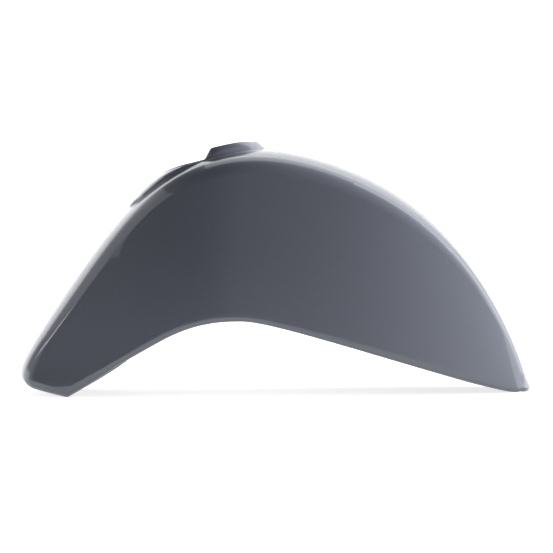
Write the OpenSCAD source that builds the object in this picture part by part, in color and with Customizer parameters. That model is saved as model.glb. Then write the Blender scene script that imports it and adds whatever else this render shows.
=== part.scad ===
/* [Overall] */
// Length from the tail to the nose
guard_length = 570; // [550:5:590]
// Height of the crest above the floor that the tail and nose stand on
crest_height = 271; // [264:1:278]
// Width over the side walls at the wheel arch
guard_width = 166; // [158:1:174]
// Width over the side walls at the tail
tail_width = 126; // [118:1:132]
// Width over the nose where its rim turns the corner
nose_width = 84; // [78:1:90]
// Thickness of the moulded wall
wall = 3; // [2.4:0.2:3.6]

/* [Side outline] */
// How far the highest point of the crest lies behind the middle
crest_setback = 22; // [14:1:30]
// Height of the top of the wheel arch
arch_height = 81; // [74:1:88]
// How far the top of the wheel arch lies behind the middle
arch_setback = 44; // [38:1:50]
// Height at which the spine ends above the tail
tail_spine_height = 25.5; // [24:0.5:28]
// Distance of the tail's lower corner ahead of its spine
tail_depth = 56; // [54:0.5:59]
// Distance of the front end of the arch behind the nose
nose_depth = 20; // [18:1:23]

/* [Section] */
// Radius of the shoulder between crown and side wall
shoulder_radius = 26; // [23:1:29]
// Radius of the same shoulder at the nose
nose_shoulder_radius = 15; // [13:1:16]
// Angle by which the crown has turned down where the shoulder starts
crown_angle = 24; // [21:1:26]
// Lean of the side wall under the shoulder
side_lean = 7; // [5:1:9]
// Lean of the side wall at its lower edge
edge_lean = 2; // [1:1:4]
// Sharpest turn of the crease along the rear side wall
crease_angle = 12; // [4:1:14]

/* [Rim] */
// Inside radius of the rolled tail edge
tail_roll = 7; // [5:0.5:8]
// Inside radius of the roll at the tail's two lower corners
corner_roll = 4; // [3:0.5:5]
// Inside radius of the turned arch edge
arch_roll = 1; // [0.6:0.2:1.6]
// Inside radius of the turned nose edge
nose_roll = 0.6; // [0.4:0.1:1]
// Width of the flange along the wheel arch
lip_width = 9; // [5:1:12]
// Distance of the flange's rear end behind the middle
lip_rear = 168; // [150:2:180]
// Distance of the flange's front end ahead of the middle
lip_front = 230; // [200:2:240]

/* [Collar] */
// How far the steering axis crosses the crest behind the middle
stem_setback = 74; // [68:1:80]
// Rearward lean of the steering axis
stem_lean = 17.3; // [15:0.1:19]
// Width of the collar at its rim
collar_width = 86; // [80:1:88]
// Reach of the rim ahead of the steering axis
collar_front = 58; // [56:0.5:61]
// Reach of the rim behind the steering axis
collar_rear = 55.5; // [52:0.5:58]
// Reach of the fairing's foot behind the steering axis
fairing_reach = 102; // [96:1:105]
// Height of the raised front wall above the crown
front_wall = 11.2; // [9:0.2:13]
// How far the raised wall falls again towards its front
front_dip = 2; // [1:0.2:3]
// Depth of the low rear rim below the crest at the steering axis
low_rim = 5.3; // [4.3:0.2:6.1]
// How far ahead of the steering axis the step between low rim and raised wall lies
step_place = 0.8; // [-2:0.2:4]
// Length of half that step
step_reach = 5; // [3:0.5:7]
// How far the low rim rises again towards its rear
rear_lift = 2.2; // [1.4:0.2:3]
// Height of the upright wall round the foot of the rear fairing
fairing_wall = 4; // [2:0.2:5]
// How far the fairing swells between that wall and the rim
fairing_swell = 2.4; // [1:0.2:3.4]
// Slope of the collar wall: how much further out its foot lies
collar_draft = 1.8; // [1:0.1:2.4]
// How much further still the foot lies in front, where the wall slants
front_slant = 6; // [3:0.5:7]
// Size of the blend between collar and crown
collar_fillet = 3; // [2:0.5:4]

/* [Mounting deck] */
// Depth of the deck below the crest at the steering axis
deck_depth = 14; // [12:0.5:16]
// Thickness of the deck
deck_thickness = 4; // [3:0.5:5]
// Bore that the steering stem passes through
stem_bore = 50; // [46:1:52]
// Circle on which the screw holes lie
screw_circle = 69; // [68:0.5:72]
// Clearance hole for each screw
screw_hole = 6.5; // [5.5:0.5:7]
// How far the seats under the deck stand down
seat_height = 3; // [2:0.5:4]
// Width of the ring seat around the stem bore
seat_ring = 3.5; // [2.5:0.5:4]
// Diameter of the round seat at each screw
screw_seat = 14; // [12:0.5:15]

/* [Hidden] */
paint = [0.32, 0.34, 0.38];
screw_count = 4;
rows = 42;
crown_steps = 5;
shoulder_steps = 5;
side_steps = 6;
half = crown_steps + shoulder_steps + 1 + side_steps;
columns = 2 * half + 1;
radian = 3.14159265 / 180;
crease_length = 1.2;
crease_rest = 2.5;
corner_copies = 3;
plain_edge = 1;
rim_bevel = 0.8;
deck_fillet = 3;
patch_margin = 3;
overlap = 1.5;
bore_sides = 96;
screw_sides = 48;

function mix(a, b, t) = a + (b - a) * t;
function clamp01(t) = min(1, max(0, t));
function ease(a, b, x) = let (t = clamp01((x - a) / (b - a))) t * t * (3 - 2 * t);
function unit(v) = v / norm(v);
function bezier(p, t) =
    len(p) == 1 ? p[0] : bezier([for (i = [0:len(p) - 2]) mix(p[i], p[i + 1], t)], t);

// The crest and the lower edge in side view, each as a rear and a front curve that meet level.
// The inner control points lie at shares of the way between a curve's two ends.
tail_inset = 0.4;
nose_inset = 1.8;
tail_handle = [0.6, 31];
tail_point = [-guard_length / 2 + tail_inset, tail_spine_height];
crest_point = [-crest_setback, crest_height];
nose_rise = 5;
nose_point = [guard_length / 2 - nose_inset, nose_rise];
crest_rear = [
    tail_point,
    tail_point + tail_handle,
    [mix(tail_point.x, crest_point.x, 0.318), mix(tail_point.y, crest_height, 0.443)],
    [mix(tail_point.x, crest_point.x, 0.443), crest_height],
    crest_point
];
crest_front = [
    crest_point,
    [mix(crest_point.x, nose_point.x, 0.278), crest_height],
    [mix(crest_point.x, nose_point.x, 0.46), mix(nose_point.y, crest_height, 0.826)],
    [mix(crest_point.x, nose_point.x, 0.752), mix(nose_point.y, crest_height, 0.824)],
    nose_point
];
edge_top = arch_height + wall + arch_roll;
edge_tail_rise = 7.45;
edge_nose_rise = 4.4;
edge_tail = [tail_point.x + tail_depth, edge_tail_rise];
edge_crown = [-arch_setback, edge_top];
edge_nose = [nose_point.x - nose_depth, edge_nose_rise];
edge_rear = [
    edge_tail,
    [mix(edge_tail.x, edge_crown.x, 0.475), mix(edge_tail.y, edge_top, 0.64)],
    [mix(edge_tail.x, edge_crown.x, 0.532), mix(edge_tail.y, edge_top, 0.66)],
    [mix(edge_tail.x, edge_crown.x, 0.667), edge_top],
    edge_crown
];
edge_front = [
    edge_crown,
    [mix(edge_crown.x, edge_nose.x, 0.078), edge_top],
    [mix(edge_crown.x, edge_nose.x, 0.11), mix(edge_nose.y, edge_top, 1.042)],
    [mix(edge_crown.x, edge_nose.x, 0.933), mix(edge_nose.y, edge_top, -0.036)],
    edge_nose
];
function crest(u) = u < 1 ? bezier(crest_rear, u) : bezier(crest_front, u - 1);
function edge(u) = u < 1 ? bezier(edge_rear, u) : bezier(edge_front, u - 1);

// Half width, shoulder, crown and crease along the guard: u runs from 0 at the tail to 2 at the nose
nose_fullness = 3.5;
nose_turn = 2;
nose_turn_power = 3;
nose_tightening = 2.5;
tail_tightening = 4;
crease_start = [0.04, 0.2];
crease_end = [0.72, 0.95];
function edge_share(u) =
    let (x = edge(u).x)
    u < 1
        ? (x - edge_tail.x) / (edge_crown.x - edge_tail.x)
        : (x - edge_crown.x) / (edge_nose.x - edge_crown.x);
function half_width(u) =
    let (t = clamp01(edge_share(u)))
    u < 1
        ? mix(tail_width, guard_width, sin(90 * t)) / 2
        : mix(guard_width, nose_width, pow(t, nose_fullness)) / 2;
// Slope of the half width in plan, and the lean that it gives a section on its slanting rib
function plan_slope(u) =
    let (t = clamp01(edge_share(u)))
    u < 1
        ? (guard_width - tail_width) / 2 / (edge_crown.x - edge_tail.x) * (90 * radian) * cos(90 * t)
        : (nose_width - guard_width) / 2 / (edge_nose.x - edge_crown.x)
            * nose_fullness * pow(t, nose_fullness - 1);
function plan_lean(u) = atan(plan_slope(u) * unit(edge(u) - crest(u)).x);
function shoulder(u) =
    mix(shoulder_radius, nose_shoulder_radius, pow(max(0, u - 1), nose_tightening))
        - tail_tightening * pow(max(0, 1 - u), 2);
function crown_turn(u) = crown_angle + nose_turn * pow(max(0, u - 1), nose_turn_power);
function crease_turn(u) =
    let (present = ease(crease_start[0], crease_start[1], u) * (1 - ease(crease_end[0], crease_end[1], u)))
    crease_rest + (crease_angle - crease_rest) * present;

// One cross section, inset for the inner skin: the crown's half width and drop, the side wall's
// start and drop, the section's depth and the shoulder's radius
function section_plan(u, inset) =
    let (
        w = half_width(u) - inset,
        depth = norm(edge(u) - crest(u)) - inset,
        r = shoulder(u) - inset,
        a = crown_turn(u),
        turn = crease_turn(u),
        lean = side_lean + plan_lean(u),
        b = 90 - lean - turn,
        m = 90 - lean - turn / 2,
        grow = tan((lean + edge_lean + plan_lean(u)) / 2),
        out = r * (sin(b) - sin(a)) + crease_length * cos(m),
        down = r * (cos(a) - cos(b)) + crease_length * sin(m),
        y1 = (w - out - (depth - down) * grow) / (1 - tan(a / 2) * grow),
        d1 = y1 * tan(a / 2)
    )
    [y1, d1, y1 + out, d1 + down, depth, r];
function section(u, inset) =
    let (
        s = section_plan(u, inset),
        a = crown_turn(u),
        c = 90 - side_lean - plan_lean(u),
        b = c - crease_turn(u),
        e = 90 - edge_lean - plan_lean(u),
        crown_r = s[0] / sin(a),
        side_r = (s[4] - s[3]) / (cos(c) - cos(e))
    )
    concat(
        [for (i = [0:crown_steps]) let (t = a * i / crown_steps) crown_r * [sin(t), 1 - cos(t)]],
        [
            for (i = [1:shoulder_steps])
                let (t = mix(a, b, i / shoulder_steps))
                    [s[0] + s[5] * (sin(t) - sin(a)), s[1] + s[5] * (cos(a) - cos(t))]
        ],
        [
            for (i = [0:side_steps])
                let (t = mix(c, e, i / side_steps))
                    [s[2] + side_r * (sin(t) - sin(c)), s[3] + side_r * (cos(c) - cos(t))]
        ]
    );
function rib_point(u, inset, y, drop) =
    let (c = crest(u), p = c + unit(edge(u) - c) * (drop + inset)) [p.x, y, p.y];
function rib(u, inset) =
    let (s = section(u, inset))
    [for (j = [-half:half]) rib_point(u, inset, sign(j) * s[abs(j)].x, s[abs(j)].y)];

// Stations at equal steps along the crest
chords = 240;
crest_walk = [
    for (
        i = 0, s = 0;
        i <= chords;
        i = i + 1, s = s + norm(crest(min(2, 2 * i / chords)) - crest(2 * (i - 1) / chords))
    )
        [s, 2 * i / chords]
];
crest_length = crest_walk[chords][0];
stations = [for (i = [0:rows]) lookup(crest_length * i / rows, crest_walk)];
outer = [for (u = stations) rib(u, 0)];
inner = [for (u = stations) rib(u, wall)];

// The collar's own frame: p forward, q to the left and h up along the steering axis
function crest_at(x, lo, hi, n) =
    let (m = (lo + hi) / 2, c = crest(m))
    n == 0 ? c : c.x < x ? crest_at(x, m, hi, n - 1) : crest_at(x, lo, m, n - 1);
stem_point = crest_at(-stem_setback, 0, 1.5, 24);
function local(v) =
    let (x = v.x - stem_point.x, z = v.z - stem_point.y)
    [x * cos(stem_lean) + z * sin(stem_lean), v.y, z * cos(stem_lean) - x * sin(stem_lean)];
function world(v) = [
    stem_point.x + v.x * cos(stem_lean) - v.z * sin(stem_lean),
    v.y,
    stem_point.y + v.x * sin(stem_lean) + v.z * cos(stem_lean)
];

// The point of the crown over a given p and q
function crown_point(u, q, inset) =
    let (r = section_plan(u, inset)[0] / sin(crown_turn(u)))
    rib_point(u, inset, q, r - sqrt(r * r - q * q));
function over(p, q, inset, lo = 0.1, hi = 1.5, n = 18) =
    let (m = (lo + hi) / 2, v = local(crown_point(m, q, inset)))
    n == 0 ? v : v.x < p ? over(p, q, inset, m, hi, n - 1) : over(p, q, inset, lo, m, n - 1);

// Oval outlines round the steering axis, squarer behind it than ahead of it
foot_front = collar_front + collar_draft + front_slant;
front_power = 2.3;
rear_power = 2.7;
foot_power = 4;
function oval(t, front, rear, side) =
    let (n = cos(t) > 0 ? front_power : rear_power, c = pow(abs(cos(t)), 2 / n), s = pow(abs(sin(t)), 2 / n))
    [(cos(t) > 0 ? front : -rear) * c, sign(sin(t)) * side * s];
function rim_oval(t, inset) =
    oval(t, collar_front - inset, collar_rear - inset, collar_width / 2 - inset);
function foot_oval(t, grow) =
    let (
        side = collar_width / 2 + collar_draft + grow,
        v = oval(t, foot_front + grow, fairing_reach + grow, side),
        across = clamp01(1 - pow(abs(v.x) / (fairing_reach + grow), foot_power))
    )
    cos(t) > 0 ? v : [v.x, sign(v.y) * side * pow(across, 1 / foot_power)];

// The rows and columns that the collar's patch replaces, and the loop round them
row_p = [for (r = outer) local(r[half]).x];
patch_rear = max([for (i = [0:rows]) if (row_p[i] < -fairing_reach - collar_fillet - patch_margin) i]);
patch_front = min(
    [for (i = [0:rows]) if (row_p[i] > foot_front + collar_fillet + patch_margin) i]
);
patch_rows = patch_front - patch_rear;
patch_loop = concat(
    [for (j = [0:crown_steps - 1]) [patch_front, j]],
    [for (i = [0:patch_rows - 1]) [patch_front - i, crown_steps]],
    [for (j = [0:2 * crown_steps - 1]) [patch_rear, crown_steps - j]],
    [for (i = [0:patch_rows - 1]) [patch_rear + i, -crown_steps]],
    [for (j = [0:crown_steps - 1]) [patch_front, -crown_steps + j]]
);
ring_size = 2 * len(patch_loop);

// Bearings of the ring's points, with points on both corners of the step
function bearing(p) =
    p > 0 ? acos(pow(p / collar_front, front_power / 2)) : 180 - acos(pow(-p / collar_rear, rear_power / 2));
function spread(a, b, n) = [for (i = [0:n - 1]) mix(a, b, i / n)];
front_turn = 48;
rear_turn = 130;
front_share = 0.4;
side_steps_front = round((2 * patch_rows - 2) * front_share);
side_steps_rear = 2 * patch_rows - 2 - side_steps_front;
step_front = bearing(step_place + step_reach);
step_rear = bearing(step_place - step_reach);
half_bearings = concat(
    spread(0, front_turn, 2 * crown_steps),
    spread(front_turn, step_front, side_steps_front),
    spread(step_front, step_rear, 2),
    spread(step_rear, rear_turn, side_steps_rear),
    spread(rear_turn, 180, 2 * crown_steps)
);
bearings = concat(
    half_bearings,
    [180],
    [for (k = [len(half_bearings) - 1:-1:1]) 360 - half_bearings[k]]
);

lift_reach = 40;
dip_start = 35;
function rim_height(v) =
    let (
        t = clamp01((v.x - step_place + step_reach) / (2 * step_reach)),
        low = rear_lift * ease(0, lift_reach, -v.x) - low_rim,
        high = over(v.x, v.y, 0).z + front_wall - front_dip * ease(dip_start, collar_front, v.x)
    )
    mix(low, high, t);
function rim_ring(inset, drop) =
    [for (k = [0:ring_size - 1]) let (v = rim_oval(bearings[k], inset)) [v.x, v.y, rim_heights[k] - drop]];
rim_heights = [for (t = bearings) rim_height(rim_oval(t, 0))];
foot_edge = [for (t = bearings) let (v = foot_oval(t, collar_fillet)) over(v.x, v.y, 0)];
foot = [for (t = bearings) let (v = foot_oval(t, 0)) over(v.x, v.y, 0)];
rim_under = rim_ring(0, rim_bevel);
rim_outer = rim_ring(rim_bevel, 0);
rim_inner = rim_ring(wall - rim_bevel, 0);
well_top = rim_ring(wall, rim_bevel);
// An upright wall stands on the foot, and the fairing runs from its top up to the rim
ledge_draft = 0.12;
ledge_reach = 1.5;
ledge_rise = 0.6;
front_start = 30;
blend_limit = 0.5;
function plan_run(k) = norm([foot[k].x - rim_under[k].x, foot[k].y - rim_under[k].y]);
ledge = [
    for (k = [0:ring_size - 1])
        let (
            f = foot[k],
            r = rim_under[k],
            tallest = mix(fairing_wall, front_wall, ease(0, front_start, r.x)),
            slanted = ease(front_start, collar_front, r.x) * ledge_rise,
            in = mix(min(ledge_draft, ledge_reach / plan_run(k)), 1, slanted),
            at_ledge = mix(f, r, in)
        )
            [at_ledge.x, at_ledge.y, f.z + min(tallest, ledge_rise * (r.z - f.z))]
];
blend_top = [
    for (k = [0:ring_size - 1])
        let (v = ledge[k] - foot[k]) foot[k] + unit(v) * min(collar_fillet, blend_limit * norm(v))
];
function swell(k, t) =
    [0, 0, fairing_swell * min(1, plan_run(k) / (fairing_reach - collar_rear)) * 4 * t * (1 - t)];
function fairing(low, high, t) = [for (k = [0:ring_size - 1]) mix(low[k], high[k], t) + swell(k, t)];
function blend(t) = [for (k = [0:ring_size - 1]) bezier([foot_edge[k], foot[k], blend_top[k]], t)];
function flat_ring(inset, h) = [for (t = bearings) let (v = rim_oval(t, inset)) [v.x, v.y, h]];
well_draft = 0.4;
well_foot = wall + well_draft;
round_middle = 0.3;
collar_rings = [
    foot_edge,
    blend(0.33),
    blend(0.67),
    blend_top,
    ledge,
    fairing(ledge, rim_under, 0.5),
    rim_under,
    rim_outer,
    rim_inner,
    well_top,
    flat_ring(well_foot, -deck_depth + deck_fillet),
    flat_ring(well_foot + round_middle * deck_fillet, -deck_depth + round_middle * deck_fillet),
    flat_ring(well_foot + deck_fillet, -deck_depth)
];

// Under the collar: the inner skin follows the fairing, and a tube wall carries the deck
under_grow = 0.3;
hollow_start = 8;
hollow_full = 36;
hollow_depth = 1.4 * wall;
under_foot = [for (t = bearings) let (v = foot_oval(t, under_grow)) over(v.x, v.y, wall)];
under_rim = [
    for (k = [0:ring_size - 1])
        let (
            v = rim_oval(bearings[k], 0),
            ramp = ease(hollow_start, hollow_full, plan_run(k)),
            skin = over(v.x, v.y, wall).z
        )
            [v.x, v.y, mix(skin, rim_heights[k] - hollow_depth, ramp)]
];
under_rings = [
    under_foot,
    fairing(under_foot, under_rim, 0.5),
    under_rim,
    flat_ring(0, -deck_depth - deck_thickness)
];

// The free edge: a loop of [row, column, kind], with copies at the tail's two corners
tail_side = 0;
arch_side = 1;
nose_side = 2;
function corner(i, j, a, b) = [for (k = [0:corner_copies]) [i, j, mix(a, b, k / corner_copies)]];
edge_loop = concat(
    [for (j = [-half + 1:half - 1]) [0, j, tail_side]],
    corner(0, half, tail_side, arch_side),
    [for (i = [1:rows - 1]) [i, half, arch_side]],
    [for (j = [half:-1:-half]) [rows, j, nose_side]],
    [for (i = [rows - 1:-1:1]) [i, -half, arch_side]],
    corner(0, -half, arch_side, tail_side)
);
loop_size = len(edge_loop);
function at(i, j) = outer[i][j + half];
function clip_row(i) = min(rows, max(0, i));
function clip_col(j) = min(half, max(-half, j));
// Outward direction in the surface and the outward normal at a loop point, for one kind of side
function edge_axes(i, j, kind) =
    let (
        here = at(i, j),
        is_row = kind != arch_side,
        corner_inset = kind == nose_side && abs(j) == half ? 1 : 0,
        inside = is_row
            ? at(kind == nose_side ? rows - 1 : 1, j - sign(j) * corner_inset) - here
            : at(i, j - sign(j)) - here,
        step = is_row
            ? at(i, clip_col(j + 1)) - at(i, clip_col(j - 1))
            : at(clip_row(i + 1), j) - at(clip_row(i - 1), j),
        along = unit(step),
        out = unit((inside * along) * along - inside),
        n = cross(along, out),
        up = is_row ? (kind == nose_side ? -n : n) : sign(j) * n
    )
    [out, up];
function loop_axes(e) =
    let (a = floor(e.z), t = e.z - a)
    t == 0
        ? edge_axes(e.x, e.y, e.z)
        : let (p = edge_axes(e.x, e.y, a), q = edge_axes(e.x, e.y, a + 1))
            [unit(mix(p[0], q[0], t)), unit(mix(p[1], q[1], t))];
axes = [for (e = edge_loop) loop_axes(e)];
corner_power = 3;
corner_rows = 4;
function roll_of(e) =
    e.z == nose_side
        ? nose_roll
        : e.z == tail_side
            ? mix(tail_roll, corner_roll, pow(abs(e.y) / half, corner_power))
            : mix(corner_roll, arch_roll, ease(0, corner_rows, e.x));
rolls = [for (e = edge_loop) roll_of(e)];
function lip_of(e) =
    let (x = at(e.x, e.y).x) e.z == arch_side && x > -lip_rear && x < lip_front ? lip_width : plain_edge;
lips = [for (e = edge_loop) lip_of(e)];
// A ring of the rolled edge, by its angle, its radius and how far the flange has run past the roll
function roll_ring(angle, skin, run) = [
    for (k = [0:loop_size - 1])
        let (
            e = edge_loop[k],
            big = rolls[k] + wall,
            r = big - skin,
            in_depth = big - r * cos(angle) + run * lips[k]
        )
            at(e.x, e.y) + axes[k][0] * (r * sin(angle)) - axes[k][1] * in_depth
];
edge_rings = [
    roll_ring(30, 0, 0),
    roll_ring(60, 0, 0),
    roll_ring(90, 0, 0),
    roll_ring(90, 0, 1),
    roll_ring(90, wall, 1),
    roll_ring(90, wall, 0),
    roll_ring(45, wall, 0)
];

// All points in one list, and where each block of them starts
function flat(list) = [for (a = list) each a];
grid_points = concat(flat(outer), flat(inner));
edge_start = len(grid_points);
collar_start = edge_start + loop_size * len(edge_rings);
under_start = collar_start + ring_size * len(collar_rings);
deck_top = under_start + ring_size * len(under_rings);
deck_bottom = deck_top + 1;
shell_points = concat(
    grid_points,
    flat(edge_rings),
    [for (v = flat(collar_rings)) world(v)],
    [for (v = flat(under_rings)) world(v)],
    [world([0, 0, -deck_depth]), world([0, 0, -deck_depth - deck_thickness])]
);
// The shift that centres the part's length on the origin and sets it down on the floor
all_x = [for (v = shell_points) v.x];
all_z = [for (v = shell_points) v.z];
rest = [-(min(all_x) + max(all_x)) / 2, 0, -min(all_z)];
function grid_id(i, j, skin) = skin * (rows + 1) * columns + i * columns + j + half;

// Faces, first drawn outwards by the right hand and turned over at the end
function tidy(f) = [for (t = f) if (t[0] != t[1] && t[1] != t[2] && t[2] != t[0]) t];
function quad(a, b, c, d) = [[a, b, c], [a, c, d]];
function strip(a, b) =
    let (n = len(a)) flat([for (k = [0:n - 1]) quad(a[k], a[(k + 1) % n], b[(k + 1) % n], b[k])]);
function fan(a, centre) = let (n = len(a)) [for (k = [0:n - 1]) [a[k], a[(k + 1) % n], centre]];
function zip_double(a, b) =
    let (n = len(a), m = len(b))
    flat([
        for (k = [0:n - 1])
            [
                [a[k], a[(k + 1) % n], b[2 * k + 1]],
                [a[k], b[2 * k + 1], b[2 * k]],
                [a[(k + 1) % n], b[(2 * k + 2) % m], b[2 * k + 1]]
            ]
    ]);
function flip(f) = [for (t = f) [t[0], t[2], t[1]]];
function ids(start, n) = [for (k = [0:n - 1]) start + k];
function in_patch(i, j) = i >= patch_rear && i < patch_front && j >= -crown_steps && j < crown_steps;
function skin_faces(skin) =
    flat([
        for (i = [0:rows - 1])
            for (j = [-half:half - 1])
                if (!in_patch(i, j))
                    quad(
                        grid_id(i, j, skin),
                        grid_id(i + 1, j, skin),
                        grid_id(i + 1, j + 1, skin),
                        grid_id(i, j + 1, skin)
                    )
    ]);
function loop_ids(skin) = [for (e = edge_loop) grid_id(e.x, e.y, skin)];
function patch_ids(skin) = [for (e = patch_loop) grid_id(e.x, e.y, skin)];
edge_ids = concat(
    [loop_ids(0)],
    [for (r = [0:len(edge_rings) - 1]) ids(edge_start + r * loop_size, loop_size)],
    [loop_ids(1)]
);
collar_ids = [for (r = [0:len(collar_rings) - 1]) ids(collar_start + r * ring_size, ring_size)];
under_ids = [for (r = [0:len(under_rings) - 1]) ids(under_start + r * ring_size, ring_size)];
shell_faces = tidy(concat(
    skin_faces(0),
    flip(skin_faces(1)),
    flat([for (r = [0:len(edge_ids) - 2]) strip(edge_ids[r], edge_ids[r + 1])]),
    zip_double(patch_ids(0), collar_ids[0]),
    flat([for (r = [0:len(collar_ids) - 2]) strip(collar_ids[r], collar_ids[r + 1])]),
    fan(collar_ids[len(collar_ids) - 1], deck_top),
    flip(zip_double(patch_ids(1), under_ids[0])),
    flip(flat([for (r = [0:len(under_ids) - 2]) strip(under_ids[r], under_ids[r + 1])])),
    flip(fan(under_ids[len(under_ids) - 1], deck_bottom))
));

module on_stem() {
    translate([stem_point.x, 0, stem_point.y])
        rotate([0, -stem_lean, 0])
            children();
}
module at_screws() {
    for (k = [0:screw_count - 1])
        rotate([0, 0, (k + 0.5) * 360 / screw_count])
            translate([screw_circle / 2, 0, 0])
                children();
}
seat_low = -deck_depth - deck_thickness - seat_height;
seat_length = seat_height + overlap;
module seats() {
    translate([0, 0, seat_low])
        cylinder(h = seat_length, d = stem_bore + 2 * seat_ring, $fn = bore_sides);
    at_screws()
        translate([0, 0, seat_low])
            cylinder(h = seat_length, d = screw_seat, $fn = screw_sides);
}
module bores() {
    cut = deck_thickness + seat_height + 4 * overlap;
    translate([0, 0, seat_low - 2 * overlap])
        cylinder(h = cut, d = stem_bore, $fn = bore_sides);
    at_screws()
        translate([0, 0, seat_low - 2 * overlap])
            cylinder(h = cut, d = screw_hole, $fn = screw_sides);
}
module mudguard_shell() {
    color(paint)
        translate(rest)
            difference() {
                union() {
                    polyhedron(points = shell_points, faces = flip(shell_faces), convexity = 8);
                    on_stem()
                        seats();
                }
                on_stem()
                    bores();
            }
}

mudguard_shell();
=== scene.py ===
# %% [markdown]
# # A scooter's front mudguard
# The guard is one moulded shell: a deep roof over the wheel, a pointed nose, a rolled tail and an
# oval collar that the steering stem comes through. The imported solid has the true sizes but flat
# facets, and gloss paint shows every facet. So the same curves are worked out again here, much
# finer, and the new skin stands in for the solid.

import math

import bmesh
import bpy
import numpy as np
from mathutils import Matrix, Vector
from mathutils.geometry import tessellate_polygon

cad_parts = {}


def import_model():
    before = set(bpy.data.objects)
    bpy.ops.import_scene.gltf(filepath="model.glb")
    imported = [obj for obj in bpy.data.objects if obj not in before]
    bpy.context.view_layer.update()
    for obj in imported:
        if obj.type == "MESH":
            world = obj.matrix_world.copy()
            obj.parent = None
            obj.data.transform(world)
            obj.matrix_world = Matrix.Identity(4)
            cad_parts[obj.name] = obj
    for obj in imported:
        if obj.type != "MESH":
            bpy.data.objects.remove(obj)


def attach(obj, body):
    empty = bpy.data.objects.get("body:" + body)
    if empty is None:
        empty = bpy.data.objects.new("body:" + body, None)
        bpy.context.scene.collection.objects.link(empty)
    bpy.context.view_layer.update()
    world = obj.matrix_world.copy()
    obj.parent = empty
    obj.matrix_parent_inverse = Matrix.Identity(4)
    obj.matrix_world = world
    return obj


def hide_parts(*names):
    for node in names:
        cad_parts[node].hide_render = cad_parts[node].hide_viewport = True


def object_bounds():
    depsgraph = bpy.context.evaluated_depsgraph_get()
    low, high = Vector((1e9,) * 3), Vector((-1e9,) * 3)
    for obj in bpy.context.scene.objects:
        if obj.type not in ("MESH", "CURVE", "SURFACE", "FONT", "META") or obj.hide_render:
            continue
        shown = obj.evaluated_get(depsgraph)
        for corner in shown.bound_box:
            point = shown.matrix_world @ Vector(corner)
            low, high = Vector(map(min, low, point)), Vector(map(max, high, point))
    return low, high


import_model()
cad_low, cad_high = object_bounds()
print("solid's box, mm:", [round(1000 * v, 1) for v in (*cad_low, *cad_high)])

# %% [markdown]
# ## Driving sizes
# All sizes are millimetres, under the names that the solid's own source uses. The mesh is turned
# into metres once, where it is made. Lengths lie along X, the nose points to +X, and heights
# count from the floor that tail and nose stand on.

# %% Sizes of the outline and the section
MM = 0.001
guard_length, crest_height = 570, 271
guard_width, tail_width, nose_width = 166, 126, 84
wall = 3
crest_setback, arch_height, arch_setback = 22, 81, 44
tail_spine_height, tail_depth, nose_depth = 25.5, 56, 20
shoulder_radius, nose_shoulder_radius = 26, 15
crown_angle, side_lean, edge_lean, crease_angle = (math.radians(a) for a in (24, 7, 2, 12))
tail_roll, corner_roll, arch_roll, nose_roll = 7, 4, 1, 0.6
lip_width, lip_rear, lip_front = 9, 168, 230

# %% Sizes of the collar and the mounting deck
stem_setback, stem_lean = 74, math.radians(17.3)
collar_width, collar_front, collar_rear, fairing_reach = 86, 58, 55.5, 102
front_wall, front_dip, low_rim, rear_lift = 11.2, 2, 5.3, 2.2
step_place, step_reach = 0.8, 5
fairing_wall, fairing_swell, collar_draft, front_slant, collar_fillet = 4, 2.4, 1.8, 6, 3
deck_depth, deck_thickness, deck_fillet = 14, 4, 3
stem_bore, screw_circle, screw_hole, screw_count = 50, 69, 6.5, 4
seat_height, seat_ring, screw_seat = 3, 3.5, 14
print("guard", guard_length, "mm long and", guard_width, "mm wide, stem bore", stem_bore, "mm")

# %% [markdown]
# ## Two curves in side view
# Seen from the side the guard is the space between two curves: the crest on top and the lower
# edge with its wheel arch. Each is a pair of Bezier curves that meet level at the top, so a few
# named points give the whole outline. The points between the named ones lie at shares of the way
# between a curve's two ends. One number, u, walks along both curves at once: 0 is the tail, 1 the
# top and 2 the nose.


# %% Curve helpers
def mix(a, b, t):
    return a + (b - a) * t


def ease(a, b, x):
    t = np.clip((x - a) / (b - a), 0, 1)
    return t * t * (3 - 2 * t)


def unit(v, shortest=1e-9):
    """Directions of length 1. One without a length stays zero."""
    return v / np.maximum(np.linalg.norm(v, axis=-1, keepdims=True), shortest)


def bezier(points, t):
    n = len(points) - 1
    t = np.asarray(t, float)[..., None]
    return sum(
        math.comb(n, k) * t**k * (1 - t) ** (n - k) * np.asarray(p, float)
        for k, p in enumerate(points)
    )


# %% Crest and lower edge
tail_inset, nose_inset = 0.4, 1.8
tail_handle = [0.6, 31]
nose_rise, edge_tail_rise, edge_nose_rise = 5, 7.45, 4.4
tail_point = np.array([-guard_length / 2 + tail_inset, tail_spine_height])
crest_point = np.array([-crest_setback, crest_height])
nose_point = np.array([guard_length / 2 - nose_inset, nose_rise])
edge_top = arch_height + wall + arch_roll
edge_tail = np.array([tail_point[0] + tail_depth, edge_tail_rise])
edge_crown = np.array([-arch_setback, edge_top])
edge_nose = np.array([nose_point[0] - nose_depth, edge_nose_rise])


def between(a, b, across, up):
    """A control point at these shares of the way from a to b."""
    return [mix(a[0], b[0], across), mix(a[1], b[1], up)]


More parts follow.
